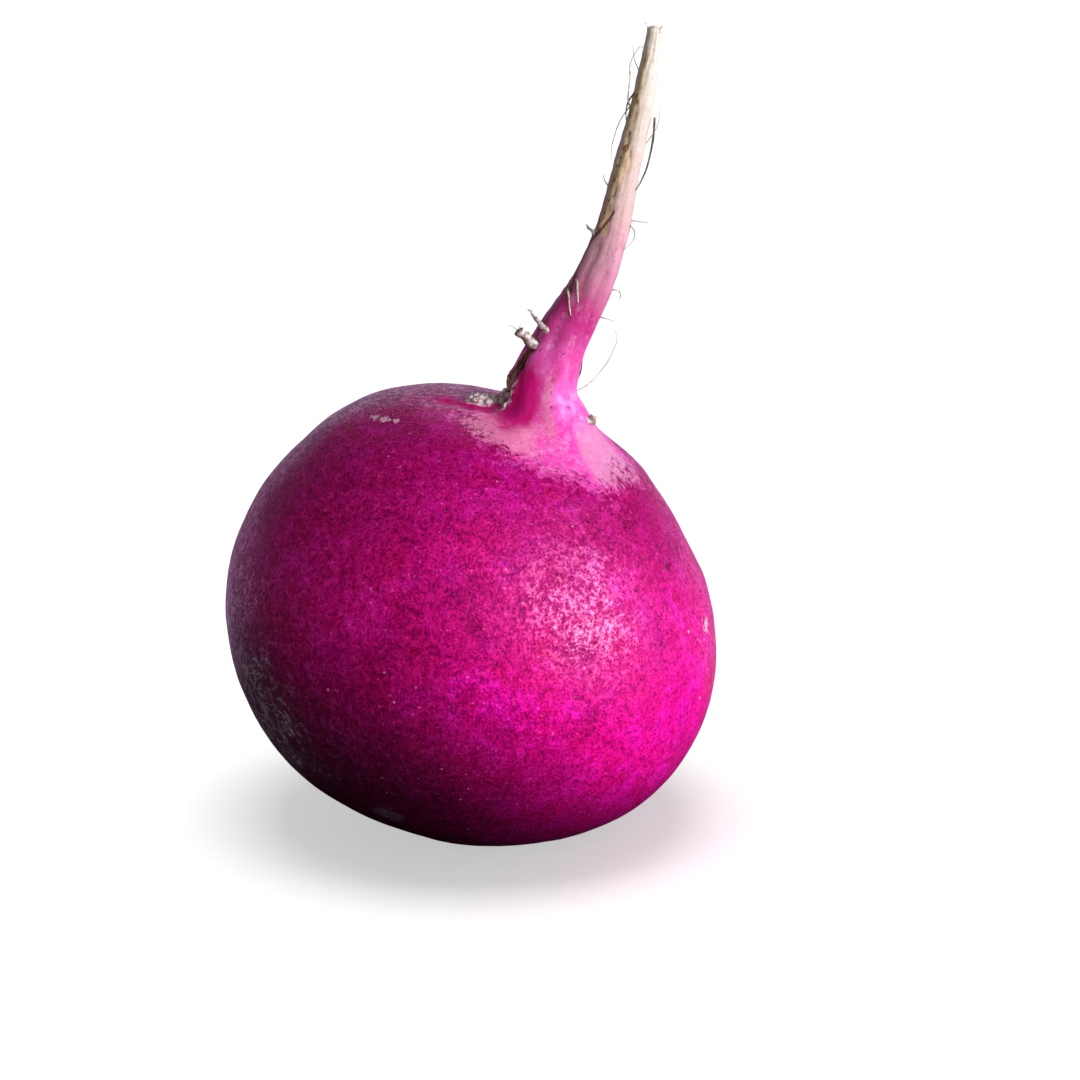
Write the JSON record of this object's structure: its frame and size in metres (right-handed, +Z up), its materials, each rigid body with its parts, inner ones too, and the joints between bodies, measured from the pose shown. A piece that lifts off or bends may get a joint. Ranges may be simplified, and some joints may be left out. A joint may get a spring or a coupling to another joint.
{
  "type": "radish",
  "caption": "Whole purple globe radish with a round body, pale flared neck and long thin taproot, standing on a small flat spot beside its trimmed crown.",
  "frame": {"origin": "middle of the small flat spot under the body, on the surface the radish stands on", "axes": "+Z up; the taproot leans toward +X; -Y is the side the picture shows"},
  "size_m": [0.0365, 0.0368, 0.0602],
  "materials": {
    "skin": "satin"
  },
  "bodies": {
    "root": {"radish_root": "skin"}
  },
  "joints": []
}
